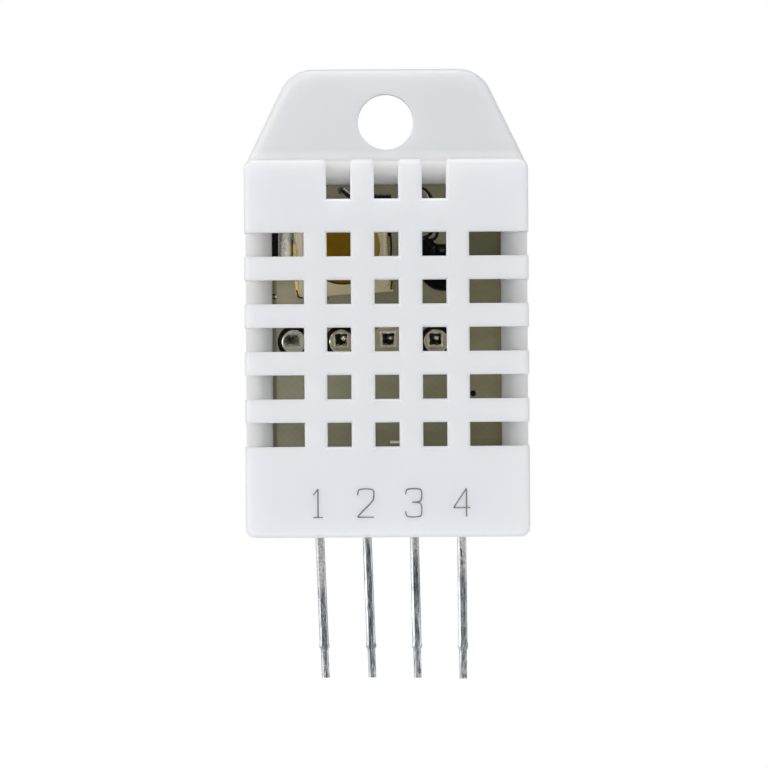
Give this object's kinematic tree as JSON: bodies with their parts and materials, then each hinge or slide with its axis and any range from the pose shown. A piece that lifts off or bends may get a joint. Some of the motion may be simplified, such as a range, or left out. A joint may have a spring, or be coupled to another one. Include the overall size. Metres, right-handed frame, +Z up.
{
  "type": "temperature humidity sensor",
  "caption": "Small sensor module for air temperature and humidity: a white grille case round a board, with a hanging tab above and a row of pins below.",
  "frame": {"origin": "centre of the hanging hole, on the case's flat back", "axes": "+Z up along the case towards the tab, -Y out of the grille towards the room, +X to the right as seen from the front"},
  "size_m": [0.0152, 0.0077, 0.0329],
  "materials": {
    "case": "white moulded plastic, fine satin grain",
    "board": "olive laminate",
    "pin_metal": "streaky tin plating",
    "tinned_copper": "tinned",
    "solder": "bright tin solder",
    "ceramic": "cream unglazed ceramic",
    "sensing_film": "brown polymer film",
    "gold_contact": "gold flash",
    "dark_wire": "black enamelled wire",
    "black_epoxy": "glossy epoxy",
    "chip_body": "moulded epoxy",
    "chip_metal": "tinned",
    "capacitor_body": "tan ceramic",
    "resistor_body": "black glaze"
  },
  "bodies": {
    "root": {"front_grille": "case", "rear_housing": "case", "circuit_board": "board", "supply_pin": "pin_metal", "data_pin": "pin_metal", "spare_pin": "pin_metal", "ground_pin": "pin_metal", "edge_pads": "tinned_copper", "test_pads": "tinned_copper", "pin_solder": "solder", "test_point_joints": "solder", "contact_solder": "solder", "lead_joints": "solder", "humidity_plate": "ceramic", "humidity_film": "sensing_film", "left_contact": "gold_contact", "right_contact": "gold_contact", "humidity_lead": "dark_wire", "thermistor_lead_left": "dark_wire", "thermistor_lead_right": "dark_wire", "thermistor_bead": "black_epoxy", "microcontroller": "chip_body", "microcontroller_leads": "chip_metal", "chip_end_caps": "chip_metal", "decoupling_capacitor": "capacitor_body", "filter_capacitor": "capacitor_body", "pull_up_resistor": "resistor_body", "reference_resistor": "resistor_body"}
  },
  "joints": []
}
